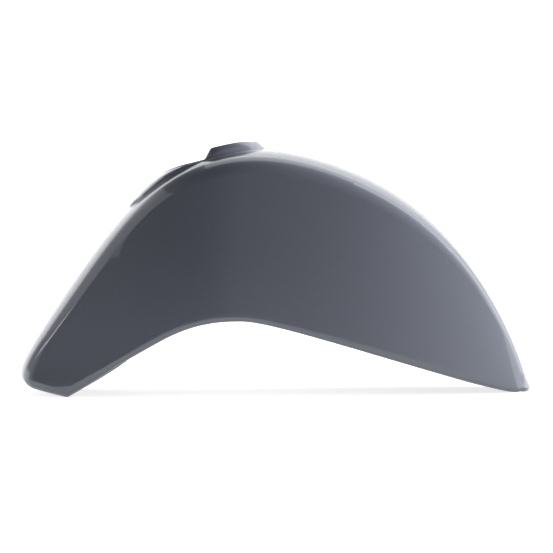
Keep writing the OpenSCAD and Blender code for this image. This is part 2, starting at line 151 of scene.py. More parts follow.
crest_rear = [
    tail_point,
    tail_point + tail_handle,
    between(tail_point, crest_point, 0.318, 0.443),
    between(tail_point, crest_point, 0.443, 1),
    crest_point,
]
crest_front = [
    crest_point,
    between(crest_point, nose_point, 0.278, 0),
    between(nose_point, crest_point, 0.54, 0.826),
    between(nose_point, crest_point, 0.248, 0.824),
    nose_point,
]
edge_rear = [
    edge_tail,
    between(edge_tail, edge_crown, 0.475, 0.64),
    between(edge_tail, edge_crown, 0.532, 0.66),
    between(edge_tail, edge_crown, 0.667, 1),
    edge_crown,
]
edge_front = [
    edge_crown,
    between(edge_crown, edge_nose, 0.078, 0),
    between(edge_nose, edge_crown, 0.89, 1.042),
    between(edge_nose, edge_crown, 0.067, -0.036),
    edge_nose,
]


def two_part(rear, front, u):
    u = np.asarray(u, float)
    ahead = bezier(front, np.clip(u - 1, 0, 1))
    return np.where((u < 1)[..., None], bezier(rear, np.clip(u, 0, 1)), ahead)


def crest(u):
    return two_part(crest_rear, crest_front, u)


def edge(u):
    return two_part(edge_rear, edge_front, u)


print("crest at the tail, top and nose:", crest([0, 1, 2]).round(1).tolist())

# %% [markdown]
# ## The cross section
# At every u a rib stands across the guard, from the crest down to the lower edge. Each half of it
# is a shallow crown arc, a tighter shoulder, a short turn that makes the crease on the rear
# flank, and an almost flat side. The width shrinks towards both ends, and the side leans with
# that slope, so the ribs of the narrowing nose still meet in one fair surface.

# %% How the section changes along the guard
nose_fullness, nose_tightening, tail_tightening = 3.5, 2.5, 4
nose_turn, nose_turn_power = math.radians(2), 3
crease_length, crease_rest = 1.2, math.radians(2.5)
crease_start, crease_end = (0.04, 0.2), (0.72, 0.95)


def edge_share(u):
    x = edge(u)[..., 0]
    rear = (x - edge_tail[0]) / (edge_crown[0] - edge_tail[0])
    ahead = (x - edge_crown[0]) / (edge_nose[0] - edge_crown[0])
    return np.clip(np.where(u < 1, rear, ahead), 0, 1)


def half_width(u):
    t = edge_share(u)
    rear = mix(tail_width, guard_width, np.sin(math.pi / 2 * t))
    return np.where(u < 1, rear, mix(guard_width, nose_width, t**nose_fullness)) / 2


def plan_lean(u):
    t = edge_share(u)
    rear = (guard_width - tail_width) / 2 / (edge_crown[0] - edge_tail[0])
    rear = rear * math.pi / 2 * np.cos(math.pi / 2 * t)
    ahead = (nose_width - guard_width) / 2 / (edge_nose[0] - edge_crown[0])
    ahead = ahead * nose_fullness * t ** (nose_fullness - 1)
    slant = unit(edge(u) - crest(u))[..., 0]
    return np.arctan(np.where(u < 1, rear, ahead) * slant)


def shoulder(u):
    ahead, behind = np.maximum(0, u - 1), np.maximum(0, 1 - u)
    radius = mix(shoulder_radius, nose_shoulder_radius, ahead**nose_tightening)
    return radius - tail_tightening * behind**2


def crown_turn(u):
    return crown_angle + nose_turn * np.maximum(0, u - 1) ** nose_turn_power


def crease_turn(u):
    strength = ease(*crease_start, u) * (1 - ease(*crease_end, u))
    return crease_rest + (crease_angle - crease_rest) * strength


print("half width at u = 0, 1, 2:", half_width(np.array([0.0, 1.0, 2.0])).round(1).tolist())


# %% One section, as a line of points
crown_steps, shoulder_steps, crease_steps, side_steps = 16, 14, 4, 22
half = crown_steps + shoulder_steps + crease_steps + side_steps


def section_plan(u, inset):
    """Where the crown and the shoulder end: out from the middle, and down from the crest."""
    width = half_width(u) - inset
    depth = np.linalg.norm(edge(u) - crest(u), axis=-1) - inset
    radius = shoulder(u) - inset
    a, turn = crown_turn(u), crease_turn(u)
    top = math.pi / 2 - side_lean - plan_lean(u)
    b, m = top - turn, top - turn / 2
    grow = np.tan((side_lean + edge_lean) / 2 + plan_lean(u))
    out = radius * (np.sin(b) - np.sin(a)) + crease_length * np.cos(m)
    down = radius * (np.cos(a) - np.cos(b)) + crease_length * np.sin(m)
    y = (width - out - (depth - down) * grow) / (1 - np.tan(a / 2) * grow)
    d = y * np.tan(a / 2)
    return y, d, y + out, d + down, depth, radius


def arc(start, radius, a, b, steps):
    """Points after start on an arc whose slope turns from a to b, in (out, down)."""
    t = mix(a[:, None], b[:, None], np.arange(1, steps + 1) / steps)
    across = start[0][:, None] + radius[:, None] * (np.sin(t) - np.sin(a[:, None]))
    down = start[1][:, None] + radius[:, None] * (np.cos(a[:, None]) - np.cos(t))
    return np.stack([across, down], axis=-1)


def section(u, inset):
    y, d, side_y, side_d, depth, radius = section_plan(u, inset)
    a, turn = crown_turn(u), crease_turn(u)
    c = math.pi / 2 - side_lean - plan_lean(u)
    e = math.pi / 2 - edge_lean - plan_lean(u)
    zero = np.zeros_like(u)
    side_radius = (depth - side_d) / (np.cos(c) - np.cos(e))
    crown = arc((zero, zero), y / np.sin(a), zero, a, crown_steps)
    bend = arc(crown[:, -1].T, radius, a, c - turn, shoulder_steps)
    crease_radius = crease_length / (2 * np.sin(turn / 2))
    crease = arc(bend[:, -1].T, crease_radius, c - turn, c, crease_steps)
    side = arc((side_y, side_d), side_radius, c, e, side_steps)
    return np.concatenate([np.zeros((len(u), 1, 2)), crown, bend, crease, side], axis=1)


def rib_point(u, inset, y, drop):
    """The point of u's rib that lies y out and drop below the skin's own crest."""
    c = crest(u)
    run = unit(edge(u) - c) * (np.asarray(drop) + inset)[..., None]
    return np.stack([c[..., 0] + run[..., 0], y, c[..., 1] + run[..., 1]], axis=-1)


def ribs(u, inset):
    s = section(u, inset)
    right = s[:, :0:-1] * [-1, 1]
    both = np.concatenate([right, s], axis=1)
    columns = np.repeat(u[:, None], both.shape[1], axis=1)
    return rib_point(columns, inset, both[..., 0], both[..., 1])


print("points across one rib:", 2 * half + 1)

# %% [markdown]
# ## The collar's own frame
# The collar follows the steering axis, which leans back, so it is easier to work it out upright:
# p runs forward, q to the left and h up along the stem. One function drops any p and q on to the
# crown, which is how the foot of the collar finds the curved skin.


# %% Stem frame and the crown under it
def find_u(is_short, low, high, steps=40):
    """Halves the span between low and high until it closes on the place asked for."""
    for _ in range(steps):
        middle = (low + high) / 2
        short = is_short(middle)
        low, high = np.where(short, middle, low), np.where(short, high, middle)
    return (low + high) / 2


first_u, last_u = 0.1, 1.5
stem_point = crest(find_u(lambda u: crest(u)[..., 0] < -stem_setback, first_u, last_u))
lean_cos, lean_sin = math.cos(stem_lean), math.sin(stem_lean)


def local(v):
    x, z = v[..., 0] - stem_point[0], v[..., 2] - stem_point[1]
    return np.stack([x * lean_cos + z * lean_sin, v[..., 1], z * lean_cos - x * lean_sin], -1)


def world(v):
    p, q, h = v[..., 0], v[..., 1], v[..., 2]
    x = stem_point[0] + p * lean_cos - h * lean_sin
    return np.stack([x, q, stem_point[1] + p * lean_sin + h * lean_cos], -1)


def over(p, q, inset=0):
    """The crown's point over a given p and q, in the stem frame."""

    def crown_at(u):
        radius = section_plan(u, inset)[0] / np.sin(crown_turn(u))
        return local(rib_point(u, inset, q, radius - np.sqrt(radius**2 - q**2)))

    low, high = np.full(p.shape, first_u), np.full(p.shape, last_u)
    return crown_at(find_u(lambda m: crown_at(m)[..., 0] < p, low, high))


print("steering axis meets the crest at", stem_point.round(2).tolist())

# %% [markdown]
# ## Both skins as grids
# Rows of ribs make a grid of points, at equal steps along the crest. Away from the collar a row
# at every 4.6 mm is enough. Under the collar the rows lie closer, because its foot and its stepped
# rim take their points from them.

# %% Stations and grids
chart_steps = 4000
chart = np.linspace(0, 2, chart_steps + 1)
chart_points = crest(chart)
chart_length = np.concatenate(
    [[0], np.cumsum(np.linalg.norm(np.diff(chart_points, axis=0), axis=1))]
)
chart_p = local(np.insert(chart_points, 1, 0, axis=1))[:, 0]
patch_margin = 4
foot_front = collar_front + collar_draft + front_slant
rear_limit = -(fairing_reach + collar_fillet + patch_margin)
front_limit = foot_front + collar_fillet + patch_margin
crest_total = chart_length[-1]
patch_span = np.interp([rear_limit, front_limit], chart_p, chart_length)
row_step, patch_step = 4.6, 2.1


def spaced(a, b, step):
    return np.linspace(a, b, math.ceil((b - a) / step) + 1)


walk = np.concatenate(
    [
        spaced(0, patch_span[0], row_step)[:-1],
        spaced(*patch_span, patch_step)[:-1],
        spaced(patch_span[1], crest_total, row_step),
    ]
)
stations = np.interp(walk, chart_length, chart)
rows, columns = len(stations) - 1, 2 * half + 1
patch_rear, patch_front = (int(np.argmin(np.abs(walk - end))) for end in patch_span)
outer, inner = ribs(stations, 0), ribs(stations, wall)
print(rows, "rows and", columns, "columns; the collar's patch is rows", patch_rear, patch_front)

# %% [markdown]
# ## The collar
# Its plan is an oval, squarer at the back. The rim is low behind, steps up at the sides and
# stays a little above the crown in front. A fillet joins it to the crown. Behind the rim a
# fairing runs down the guard on a short upright wall. Ring by ring the points go from the patch's
# rectangle in to the foot, up to the rim, over it, down the well and across to the deck.

# %% Bearings and ovals
front_power, rear_power, foot_power = 2.3, 2.7, 4
loop_ij = (
    [(patch_front, j) for j in range(crown_steps)]
    + [(i, crown_steps) for i in range(patch_front, patch_rear, -1)]
    + [(patch_rear, j) for j in range(crown_steps, -crown_steps, -1)]
    + [(i, -crown_steps) for i in range(patch_rear, patch_front)]
    + [(patch_front, j) for j in range(-crown_steps, 0)]
)
patch_ids = np.array([i * columns + j + half for i, j in loop_ij])
patch_loop = local(outer.reshape(-1, 3)[patch_ids])
reach = np.where(patch_loop[:, 0] > 0, patch_loop[0, 0], -rear_limit)
side_reach = section_plan(stations[[i for i, _ in loop_ij]], 0)[0]
bearing = np.arctan2(patch_loop[:, 1] / side_reach, patch_loop[:, 0] / reach)


def oval(front, rear, side):
    c, s = np.cos(bearing), np.sin(bearing)
    n = np.where(c > 0, front_power, rear_power)
    r = (np.abs(c) ** n + np.abs(s) ** n) ** (-1 / n)
    return np.where(c > 0, front, rear) * r * c, side * r * s


def rim_oval(inset):
    return oval(collar_front - inset, collar_rear - inset, collar_width / 2 - inset)


def foot_oval(grow):
    side = collar_width / 2 + collar_draft + grow
    p, q = oval(foot_front + grow, fairing_reach + grow, side)
    across = np.clip(1 - (np.abs(p) / (fairing_reach + grow)) ** foot_power, 0, 1)
    return p, np.where(p > 0, q, np.sign(q) * side * across ** (1 / foot_power))


def ring(plan, height):
    return np.stack([plan[0], plan[1], np.broadcast_to(height, plan[0].shape)], axis=-1)


rim_p = rim_oval(0)[0]
print("the rim reaches from", rim_p.min().round(2), "to", rim_p.max().round(2), "mm along p")

# %% The rim's height: low behind, a step, then a wall that follows the crown
lift_reach, dip_start, step_round, rim_round = 40, 35, 0.1, 0.8


def rim_height(p, q):
    s = (p - step_place + step_reach) / (2 * step_reach)
    left = 1 + step_round - np.minimum(s, 1 + step_round)
    rounded = np.where(s < 1 - step_round, s, 1 - left**2 / (4 * step_round))
    low = rear_lift * ease(0, lift_reach, -p) - low_rim
    high = over(p, q)[:, 2] + front_wall - front_dip * ease(dip_start, collar_front, p)
    return mix(low, high, np.clip(rounded, 0, 1))


rim_top = rim_height(*rim_oval(0))
foot_edge, foot = over(*foot_oval(collar_fillet)), over(*foot_oval(0))
rim_under = ring(rim_oval(0), rim_top - rim_round)
print("rim's height along the stem runs from", rim_top.min().round(2), "to", rim_top.max().round(2))

# %% The upright wall, the fairing and the fillet at the foot
ledge_draft, ledge_reach, ledge_rise = 0.12, 1.5, 0.6
front_start, blend_limit = 30, 0.5
plan_run = np.linalg.norm((foot - rim_under)[:, :2], axis=1)
tallest = mix(fairing_wall, front_wall, ease(0, front_start, rim_under[:, 0]))
slanted = ease(front_start, collar_front, rim_under[:, 0]) * ledge_rise
inward = mix(np.minimum(ledge_draft, ledge_reach / plan_run), 1, slanted)
ledge = mix(foot, rim_under, inward[:, None])
ledge[:, 2] = foot[:, 2] + np.minimum(tallest, ledge_rise * (rim_under - foot)[:, 2])
rise = ledge - foot
rise_length = np.linalg.norm(rise, axis=1, keepdims=True)
blend_top = foot + unit(rise) * np.minimum(collar_fillet, blend_limit * rise_length)
swell = fairing_swell * np.minimum(1, plan_run / (fairing_reach - collar_rear))


def fairing(low, high, t):
    lifted = mix(low, high, t)
    lifted[:, 2] += swell * 4 * t * (1 - t)
    return lifted


def steps_between(a, b, steps):
    """Rings from a to b, without either."""
    return [mix(a, b, k / steps) for k in range(1, steps)]


def rounding(inset_from, inset_to, top, steps=5):
    """Rings over one corner of the rim, from the wall's face to the flat on top, or back."""
    rings = []
    for k in range(steps + 1):
        t = math.pi / 2 * k / steps
        inset = mix(inset_from, inset_to, 1 - math.cos(t))
        rings.append(ring(rim_oval(inset), top - rim_round * (1 - math.sin(t))))
    return rings


print("wall round the fairing's foot stands", rise_length.min().round(2), "mm at its lowest")

# %% All rings of the collar, outside first
apron_steps, blend_steps, wall_steps, fairing_steps, well_steps = 9, 8, 3, 10, 8
well_draft = 0.4
crown_rings = [
    over(*points[:, :2].T) for points in steps_between(patch_loop, foot_edge, apron_steps)
]
well_inset = wall + well_draft
well_top = ring(rim_oval(wall), rim_top - rim_round)
well_low = ring(rim_oval(well_inset), -deck_depth + deck_fillet)
deck_rings = [
    ring(
        rim_oval(well_inset + deck_fillet * (1 - math.cos(t))),
        -deck_depth + deck_fillet * (1 - math.sin(t)),
    )
    for t in np.linspace(0, math.pi / 2, 6)
]
collar_rings = (
    crown_rings
    + [bezier([foot_edge, foot, blend_top], k / blend_steps) for k in range(blend_steps + 1)]
    + steps_between(blend_top, ledge, wall_steps)
    + [fairing(ledge, rim_under, k / fairing_steps) for k in range(fairing_steps)]
    + rounding(0, rim_round, rim_top)
    + rounding(wall, wall - rim_round, rim_top)[::-1]
    + steps_between(well_top, well_low, well_steps)
    + deck_rings
)
print(len(collar_rings), "rings of", len(bearing), "points make the collar")

# %% [markdown]
# ## The underside of the collar
# Inside the guard the skin dips under the fairing and then meets a tube that carries the deck.
# The fork's crown bolts up against the deck, so it has a ring seat round the stem bore and a
# round seat at each screw.

# %% Rings under the collar
under_grow, hollow_start, hollow_full, hollow_depth = 0.3, 8, 36, 1.4 * wall
under_loop = local(inner.reshape(-1, 3)[patch_ids])
under_foot = over(*foot_oval(under_grow), wall)
ramp = ease(hollow_start, hollow_full, plan_run)
skin_height = over(*rim_oval(0), wall)[:, 2]
under_rim = ring(rim_oval(0), mix(skin_height, rim_top - hollow_depth, ramp))
deck_low = -deck_depth - deck_thickness
deck_foot = ring(rim_oval(0), deck_low)
skin_steps, hollow_steps, tube_steps = 7, 6, 5
under_rings = (
    [over(*points[:, :2].T, wall) for points in steps_between(under_loop, under_foot, skin_steps)]
    + [under_foot]
    + [fairing(under_foot, under_rim, k / hollow_steps) for k in range(1, hollow_steps + 1)]
    + steps_between(under_rim, deck_foot, tube_steps)
    + [deck_foot]
)
print(len(under_rings), "rings lie under the collar, down to", deck_low, "mm")

# %% [markdown]
# ## The free edge
# A moulded guard never ends in a raw cut. Along the tail the skin rolls under in a soft, wide
# round. Along the wheel arch it turns in sharply and carries a flange, and at the nose it only
# rounds over. One loop of points runs right round the grid. At each point the roll needs two
# directions: outward in the surface, and the surface's normal. Where the arch meets the nose the
# two directions are turned in even steps, or the lip would fold over itself at that corner.

# %% The loop round the grid and its directions
corner_copies = 9
tail_side, arch_side, nose_side = 0, 1, 2


def corner(j, a, b):
    return [(0, j, mix(a, b, k / corner_copies)) for k in range(corner_copies + 1)]


edge_loop = (
    [(0, j, tail_side) for j in range(-half + 1, half)]
    + corner(half, tail_side, arch_side)
    + [(i, half, arch_side) for i in range(1, rows)]
    + [(rows, j, nose_side) for j in range(half, -half - 1, -1)]
    + [(i, -half, arch_side) for i in range(rows - 1, 0, -1)]
    + corner(-half, arch_side, tail_side)
)
loop_i = np.array([i for i, _, _ in edge_loop])
loop_j = np.array([j for _, j, _ in edge_loop])
loop_kind = np.array([kind for _, _, kind in edge_loop])
edge_ids = loop_i * columns + loop_j + half
edge_points = outer.reshape(-1, 3)[edge_ids]


def edge_axes(kind):
    """Outward in the surface, and the outward normal, as if the whole loop were of one kind."""
    j = loop_j + half
    toward_middle = np.where(loop_j > 0, -1, 1)
    if kind == arch_side:
        inside = outer[loop_i, j + toward_middle] - edge_points
        step = outer[np.minimum(loop_i + 1, rows), j] - outer[np.maximum(loop_i - 1, 0), j]
    else:
        at_corner = (np.abs(loop_j) == half) & (kind == nose_side)
        row = np.maximum(loop_i - 1, 0) if kind == nose_side else np.minimum(loop_i + 1, rows)
        inside = outer[row, j + toward_middle * at_corner] - edge_points
        step = outer[loop_i, np.minimum(j + 1, 2 * half)] - outer[loop_i, np.maximum(j - 1, 0)]
    along = unit(step)
    out = unit(np.sum(inside * along, axis=1, keepdims=True) * along - inside)
    up = np.cross(along, out)
    turn = {tail_side: 1, arch_side: -toward_middle, nose_side: -1}[kind]
    return out, up * np.reshape(turn, (-1, 1))


tail_axes, arch_axes, nose_axes = (edge_axes(k) for k in (tail_side, arch_side, nose_side))
toward_arch, at_nose = np.clip(loop_kind, 0, 1)[:, None], (loop_kind == nose_side)[:, None]
loop_out, normals = (
    np.where(at_nose, nose, unit(mix(tail, arch, toward_arch)))
    for tail, arch, nose in zip(tail_axes, arch_axes, nose_axes)
)
turn_steps = 4
shares = np.arange(1, 2 * turn_steps)[:, None] / (2 * turn_steps)
for tip in np.flatnonzero((loop_kind == nose_side) & (np.abs(loop_j) == half)):
    first, last = tip - turn_steps, tip + turn_steps
    for axes in (loop_out, normals):
        axes[first + 1 : last] = unit(mix(axes[first], axes[last], shares))
facing = loop_out[loop_kind == tail_side][:, 0].mean()
print("outward at the tail points to", "the rear" if facing < 0 else "the front")

# %% The rolls and the flange
corner_power, nose_power, corner_run = 3, 6, 48
plain_edge, flange_run = 1, 14
walked = np.linalg.norm(outer[loop_i, half] - outer[0, half], axis=-1)
across = np.abs(loop_j) / half
tail_radius = mix(tail_roll, corner_roll, across**corner_power)
arch_radius = mix(corner_roll, arch_roll, ease(0, corner_run, walked))
nose_radius = mix(nose_roll, arch_roll, across**nose_power)
roll = np.where(loop_kind == tail_side, tail_radius, arch_radius)
roll = np.where(loop_kind == nose_side, nose_radius, roll)
behind_lip, ahead_lip = edge_points[:, 0] + lip_rear, lip_front - edge_points[:, 0]
flange = ease(0, flange_run, behind_lip) * ease(0, flange_run, ahead_lip)
flange = np.where(loop_kind == arch_side, mix(plain_edge, lip_width, flange), plain_edge)


def roll_ring(angle, skin, run):
    big = (roll + wall)[:, None]
    r = big - skin
    inward = big - r * math.cos(angle) + run * flange[:, None]
    return edge_points + loop_out * r * math.sin(angle) - normals * inward


quarter = math.pi / 2
outside_steps, inside_steps = 8, 6
lip_round, lip_straight = 0.4, 0.9
edge_rings = (
    [roll_ring(quarter * k / outside_steps, 0, 0) for k in range(1, outside_steps + 1)]
    + [roll_ring(quarter, 0, lip_straight), roll_ring(quarter, lip_round, 1)]
    + [roll_ring(quarter, wall - lip_round, 1), roll_ring(quarter, wall, lip_straight)]
    + [roll_ring(quarter * k / inside_steps, wall, 0) for k in range(inside_steps, 0, -1)]
)
print(len(edge_rings), "rings of", len(edge_loop), "points make the rolled edge")

# %% [markdown]
# ## Joining the points into a mesh
# Every part so far is a grid or a stack of rings, so faces are plain quads between neighbours.
# Each block of faces carries the number of its finish: paint outside and over the edges, bare
# plastic inside.

# %% A small mesh builder
PAINT, BARE = 0, 1


class Builder:
    """Collects points and faces, and the finish of each face."""

    def __init__(self):
        self.points, self.faces, self.finishes, self.count = [], [], [], 0

    def add_points(self, points):
        start = self.count
        self.points.append(np.asarray(points).reshape(-1, 3))
        self.count += len(self.points[-1])
        return np.arange(start, self.count)

    def add_faces(self, faces, finish):
        """Adds faces without their repeated corners, which the tail's corner points cause."""
        distinct = [tuple(dict.fromkeys(int(v) for v in f)) for f in faces]
        distinct = [f for f in distinct if len(f) > 2]
        self.faces += distinct
        self.finishes += [finish] * len(distinct)

    def strip(self, a, b, finish):
        """Quads between two closed rings of the same length."""
        self.add_faces(np.stack([a, np.roll(a, -1), np.roll(b, -1), b], axis=-1), finish)


def grid_quads(ids):
    i, j = np.meshgrid(np.arange(rows), np.arange(columns - 1), indexing="ij")
    low, high = half - crown_steps, half + crown_steps
    hole = (i >= patch_rear) & (i < patch_front) & (j >= low) & (j < high)
    i, j = i[~hole], j[~hole]
    return np.stack([ids[i, j], ids[i + 1, j], ids[i + 1, j + 1], ids[i, j + 1]], axis=-1)


# %% Skins, edge and collar
shell = Builder()
outer_ids = shell.add_points(outer).reshape(rows + 1, columns)
inner_ids = shell.add_points(inner).reshape(rows + 1, columns)
shell.add_faces(grid_quads(outer_ids), PAINT)
shell.add_faces(grid_quads(inner_ids), BARE)


def stack(first, rings, finish):
    last = first
    for points in rings:
        new = shell.add_points(points)
        shell.strip(last, new, finish)
        last = new
    return last


lip_painted = len(edge_rings) - inside_steps - 1
edge_end = stack(outer_ids.ravel()[edge_ids], edge_rings[:lip_painted], PAINT)
edge_end = stack(edge_end, edge_rings[lip_painted:], BARE)
shell.strip(edge_end, inner_ids.ravel()[edge_ids], BARE)
deck_edge = stack(outer_ids.ravel()[patch_ids], [world(r) for r in collar_rings], PAINT)
under_edge = stack(inner_ids.ravel()[patch_ids], [world(r) for r in under_rings], BARE)
print(shell.count, "points and", len(shell.faces), "faces before the deck")

# %% [markdown]
# ## The deck and its seats
# The deck's two faces are flat with five holes in each, so a triangle fill between the outline
# and the holes makes them. The bores and the seats are short tubes turned from a profile. A seat
# sinks a little into the deck's lower face, and that face ends inside the seat, out of sight. So
# those two rims are the mesh's only open edges.


# %% Tubes and the two faces
def circle(radius, height, centre, count):
    t = np.linspace(0, 2 * math.pi, count, endpoint=False)
    flat = np.stack([centre[0] + radius * np.cos(t), centre[1] + radius * np.sin(t)], axis=-1)
    return world(np.insert(flat, 2, height, axis=1))


screw_bearings = (np.arange(screw_count) + 0.5) * 2 * math.pi / screw_count
screw_centres = [
    (screw_circle / 2 * math.cos(t), screw_circle / 2 * math.sin(t)) for t in screw_bearings
]
seat_low = deck_low - seat_height
soft, sunk = 0.4, 0.2
bore_sides, screw_sides = 128, 48


def tube(hole_radius, seat_radius, centre, count):
    """A bore from the deck's top down through its seat. Returns the ids of its top ring."""
    profile = [
        (hole_radius + soft, -deck_depth),
        (hole_radius, -deck_depth - soft),
        (hole_radius, seat_low + soft),
        (hole_radius + soft, seat_low),
        (seat_radius - soft, seat_low),
        (seat_radius, seat_low + soft),
        (seat_radius, deck_low + sunk),
    ]
    rings = [shell.add_points(circle(r, h, centre, count)) for r, h in profile]
    for a, b in zip(rings, rings[1:]):
        shell.strip(a, b, BARE)
    hidden = (hole_radius + seat_radius) / 2
    return rings[0], shell.add_points(circle(hidden, deck_low, centre, count))


holes = [tube(stem_bore / 2, stem_bore / 2 + seat_ring, (0, 0), bore_sides)]
holes += [tube(screw_hole / 2, screw_seat / 2, centre, screw_sides) for centre in screw_centres]
print(len(holes), "tubes go through the deck")

# %% The deck's two faces
def fill_between(rings, finish):
    """Fills the flat face that lies inside the first ring and outside the others."""
    places = local(np.concatenate(shell.points))[:, :2]
    outlines = [[Vector((*places[v], 0)) for v in ids] for ids in rings]
    order = np.concatenate(rings)
    shell.add_faces(order[np.array(tessellate_polygon(outlines))], finish)


fill_between([deck_edge] + [top for top, _ in holes], PAINT)
fill_between([under_edge] + [low for _, low in holes], BARE)
print(len(shell.faces), "faces with the deck")

# %% The mesh itself
weld = 1e-7
mesh = bpy.data.meshes.new("painted_shell")
mesh.from_pydata((np.concatenate(shell.points) * MM).tolist(), [], shell.faces)
mesh.polygons.foreach_set("material_index", shell.finishes)
work = bmesh.new()
work.from_mesh(mesh)
bmesh.ops.remove_doubles(work, verts=work.verts, dist=weld)
bmesh.ops.dissolve_degenerate(work, edges=work.edges, dist=weld)
bmesh.ops.recalc_face_normals(work, faces=work.faces)
open_edges = sum(not e.is_manifold for e in work.edges)
work.to_mesh(mesh)
work.free()
print("triangles:", sum(len(p.vertices) - 2 for p in mesh.polygons))
print("open edges:", open_edges, "hidden in the seats:", 2 * (bore_sides + screw_count * screw_sides))

# %% [markdown]
# ## The solid's place
# The finer rolls and the solid's coarser ones end a fraction of a millimetre apart. So the skin is
# centred on the solid's length and hung from its top, and the few lip points that would then reach
# through the floor are set down on it. Only turns sharper than 38 degrees stay crisp.

# %% Set it into the solid's place
crisp = math.radians(38)
guard = bpy.data.objects.new("painted_shell", mesh)
bpy.context.scene.collection.objects.link(guard)
place = np.empty(len(mesh.vertices) * 3)
mesh.vertices.foreach_get("co", place)
place = place.reshape(-1, 3)
low, high = place.min(axis=0), place.max(axis=0)
sole = high[2] - (cad_high[2] - cad_low[2])
place[:, 2] = np.maximum(place[:, 2], sole)
mesh.vertices.foreach_set("co", place.ravel())
shift = Vector(((cad_low[0] + cad_high[0] - low[0] - high[0]) / 2, 0, cad_low[2] - sole))
print("lip points set down on the floor, by up to", round(1000 * (sole - low[2]), 3), "mm")
mesh.transform(Matrix.Translation(shift))
mesh.shade_smooth()
mesh.set_sharp_from_angle(angle=crisp)
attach(guard, "root")
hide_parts("mudguard_shell")
print("shift to the solid's place, mm:", [round(1000 * v, 3) for v in shift])

# %% [markdown]
# ## Finishes
# Sprayed paint is never as flat as glass: it dries with a faint ripple. Moulded plastic has a
# fine grain of its own. Both are the same effect at another size, so one node group gives a
# height for the bump and a slow mask that varies the roughness.


# %% A group for fine surface texture
def surface_texture_group():
    group = bpy.data.node_groups.new("surface_texture", "ShaderNodeTree")
    for name, value in (("Fine Scale", 300.0), ("Slow Scale", 12.0)):
        socket = group.interface.new_socket(name, in_out="INPUT", socket_type="NodeSocketFloat")
        socket.default_value = value
    for name in ("Height", "Variation"):
        group.interface.new_socket(name, in_out="OUTPUT", socket_type="NodeSocketFloat")
    nodes, links = group.nodes, group.links
    entry, leave = nodes.new("NodeGroupInput"), nodes.new("NodeGroupOutput")
    where = nodes.new("ShaderNodeTexCoord")
    fine, slow = nodes.new("ShaderNodeTexNoise"), nodes.new("ShaderNodeTexNoise")
    fine.inputs["Detail"].default_value = 2
    slow.inputs["Detail"].default_value = 3
    for node, scale in ((fine, "Fine Scale"), (slow, "Slow Scale")):
        links.new(where.outputs["Object"], node.inputs["Vector"])
        links.new(entry.outputs[scale], node.inputs["Scale"])
    links.new(fine.outputs["Fac"], leave.inputs["Height"])
    links.new(slow.outputs["Fac"], leave.inputs["Variation"])
    return group


surface_texture = surface_texture_group()

# %% [markdown]
# ## The paint
# The colour is a mid grey with a blue cast. Under the clear coat lie fine metal flakes, which
# brighten where the skin turns towards a light and stay dark where it turns away. That is a
# partly metallic, rather rough base under a smooth coat. Small flake cells vary the colour a
# little, and the ripple bends the reflections of the base under the coat.


# %% Helpers for materials
def new_material(name):
    material = bpy.data.materials.new(name)
    material.use_nodes = True
    tree = material.node_tree
    return material, tree, tree.nodes["Principled BSDF"]


def add_texture(tree, fine, slow):
    node = tree.nodes.new("ShaderNodeGroup")
    node.node_tree = surface_texture
    node.inputs["Fine Scale"].default_value = fine
    node.inputs["Slow Scale"].default_value = slow
    return node


def vary(tree, source, low, high, target):
    """Sends a mask of 0 to 1 to a socket as a value between low and high."""
    spread = tree.nodes.new("ShaderNodeMapRange")
    spread.inputs["To Min"].default_value = low
    spread.inputs["To Max"].default_value = high
    tree.links.new(source, spread.inputs["Value"])
    tree.links.new(spread.outputs["Result"], target)


def add_bump(tree, height, strength, distance, target):
    bump = tree.nodes.new("ShaderNodeBump")
    bump.inputs["Strength"].default_value = strength
    bump.inputs["Distance"].default_value = distance
    tree.links.new(height, bump.inputs["Height"])
    tree.links.new(bump.outputs["Normal"], target)


# %% Gloss grey paint
paint, paint_tree, paint_shader = new_material("gloss_grey_paint")
paint_shader.inputs["Metallic"].default_value = 0.55
paint_shader.inputs["Coat Weight"].default_value = 1.0
paint_shader.inputs["Coat Roughness"].default_value = 0.03
ripple = add_texture(paint_tree, 240, 9)
vary(paint_tree, ripple.outputs["Variation"], 0.34, 0.42, paint_shader.inputs["Roughness"])
flakes = paint_tree.nodes.new("ShaderNodeTexVoronoi")
flakes.inputs["Scale"].default_value = 2200
spot = paint_tree.nodes.new("ShaderNodeTexCoord")
paint_tree.links.new(spot.outputs["Object"], flakes.inputs["Vector"])
tint = paint_tree.nodes.new("ShaderNodeMix")
tint.data_type = "RGBA"
tint.inputs["A"].default_value = (0.084, 0.090, 0.109, 1)
tint.inputs["B"].default_value = (0.107, 0.114, 0.138, 1)
paint_tree.links.new(flakes.outputs["Color"], tint.inputs["Factor"])
paint_tree.links.new(tint.outputs["Result"], paint_shader.inputs["Base Color"])
add_bump(paint_tree, ripple.outputs["Height"], 0.02, 0.0002, paint_shader.inputs["Normal"])
mesh.materials.append(paint)
print("paint made of", len(paint_tree.nodes), "nodes")

# %% Bare plastic inside
bare, bare_tree, bare_shader = new_material("bare_inner_plastic")
grain = add_texture(bare_tree, 900, 22)
vary(bare_tree, grain.outputs["Variation"], 0.42, 0.62, bare_shader.inputs["Roughness"])
dust = bare_tree.nodes.new("ShaderNodeMix")
dust.data_type = "RGBA"
dust.inputs["A"].default_value = (0.055, 0.058, 0.066, 1)
dust.inputs["B"].default_value = (0.085, 0.089, 0.098, 1)
bare_tree.links.new(grain.outputs["Variation"], dust.inputs["Factor"])
bare_tree.links.new(dust.outputs["Result"], bare_shader.inputs["Base Color"])
add_bump(bare_tree, grain.outputs["Height"], 0.25, 0.0003, bare_shader.inputs["Normal"])
mesh.materials.append(bare)
print("finishes:", [m.name for m in mesh.materials])

